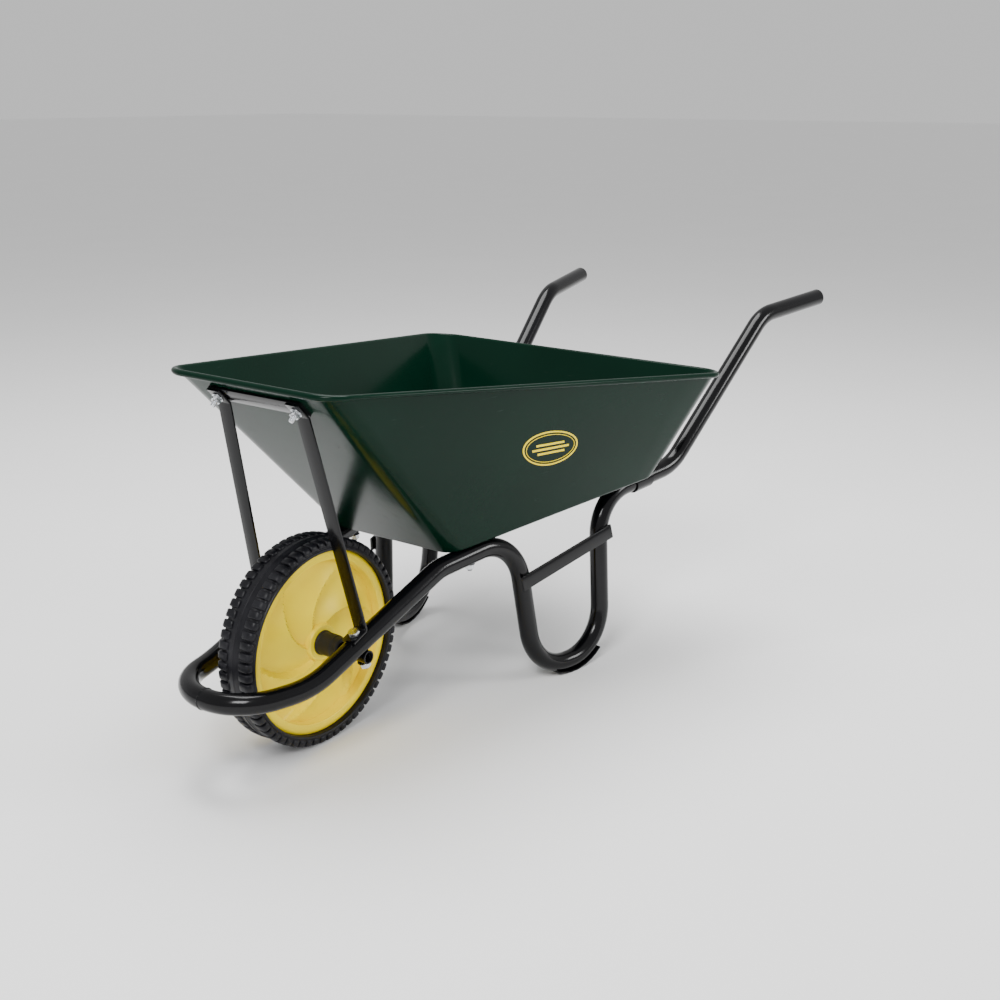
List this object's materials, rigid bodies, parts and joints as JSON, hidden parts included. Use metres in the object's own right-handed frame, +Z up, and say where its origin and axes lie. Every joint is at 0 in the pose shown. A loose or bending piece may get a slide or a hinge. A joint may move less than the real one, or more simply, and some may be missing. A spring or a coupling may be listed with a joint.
{
  "type": "wheelbarrow",
  "caption": "Builder's wheelbarrow: dark green pressed-steel tray on a black tubular frame with long handles, yellow plastic wheel and black block-tread tyre",
  "frame": {"origin": "middle of the footprint, on the ground", "axes": "+X to the rear towards the handles, +Y to the user's right, +Z up"},
  "size_m": [1.4282, 0.6524, 0.591],
  "materials": {
    "green_enamel": "gloss stove enamel on pressed sheet steel",
    "black_enamel": "gloss black powder coat on tube and flat bar",
    "yellow_plastic": "bright yellow moulded plastic, satin",
    "black_rubber": "moulded black rubber, dull",
    "black_plastic": "moulded black plastic",
    "zinc_plate": "bright zinc-plated fasteners"
  },
  "bodies": {
    "frame": {"axle_bolt_left": "zinc_plate", "axle_bolt_right": "zinc_plate", "axle_nut_left": "zinc_plate", "axle_nut_right": "zinc_plate", "axle_tube": "black_enamel", "axle_washer_left": "zinc_plate", "axle_washer_right": "zinc_plate", "frame_tube_left": "black_enamel", "frame_tube_right": "black_enamel", "front_stay_left": "black_enamel", "front_stay_right": "black_enamel", "handle_plug_left": "black_plastic", "handle_plug_right": "black_plastic", "handle_socket_left": "black_enamel", "handle_socket_right": "black_enamel", "handle_tube_left": "black_enamel", "handle_tube_right": "black_enamel", "leg_brace_left": "black_enamel", "leg_brace_right": "black_enamel", "rear_cross_tube": "black_enamel", "stay_bolt_left": "zinc_plate", "stay_bolt_right": "zinc_plate", "stay_nut_left": "zinc_plate", "stay_nut_right": "zinc_plate", "stay_strip": "black_enamel", "stay_washer_left": "zinc_plate", "stay_washer_right": "zinc_plate", "tray": "green_enamel", "tray_front_bolt_left": "zinc_plate", "tray_front_bolt_right": "zinc_plate", "tray_front_nut_left": "zinc_plate", "tray_front_nut_right": "zinc_plate", "tray_front_washer_left": "zinc_plate", "tray_front_washer_right": "zinc_plate", "tray_rear_bolt_left": "zinc_plate", "tray_rear_bolt_right": "zinc_plate", "tray_rear_nut_left": "zinc_plate", "tray_rear_nut_right": "zinc_plate", "tray_rear_washer_left": "zinc_plate", "tray_rear_washer_right": "zinc_plate", "wear_plate_left": "black_enamel", "wear_plate_right": "black_enamel"},
    "wheel": {"hub_bush_left": "black_plastic", "hub_bush_right": "black_plastic", "tyre": "black_rubber", "wheel_disc": "yellow_plastic"}
  },
  "joints": [
    {"name": "wheel_spin", "type": "hinge", "parent": "frame", "child": "wheel", "pos_m": [-0.48107, 0, 0.165], "axis": [0, 1, 0], "continuous": true}
  ]
}
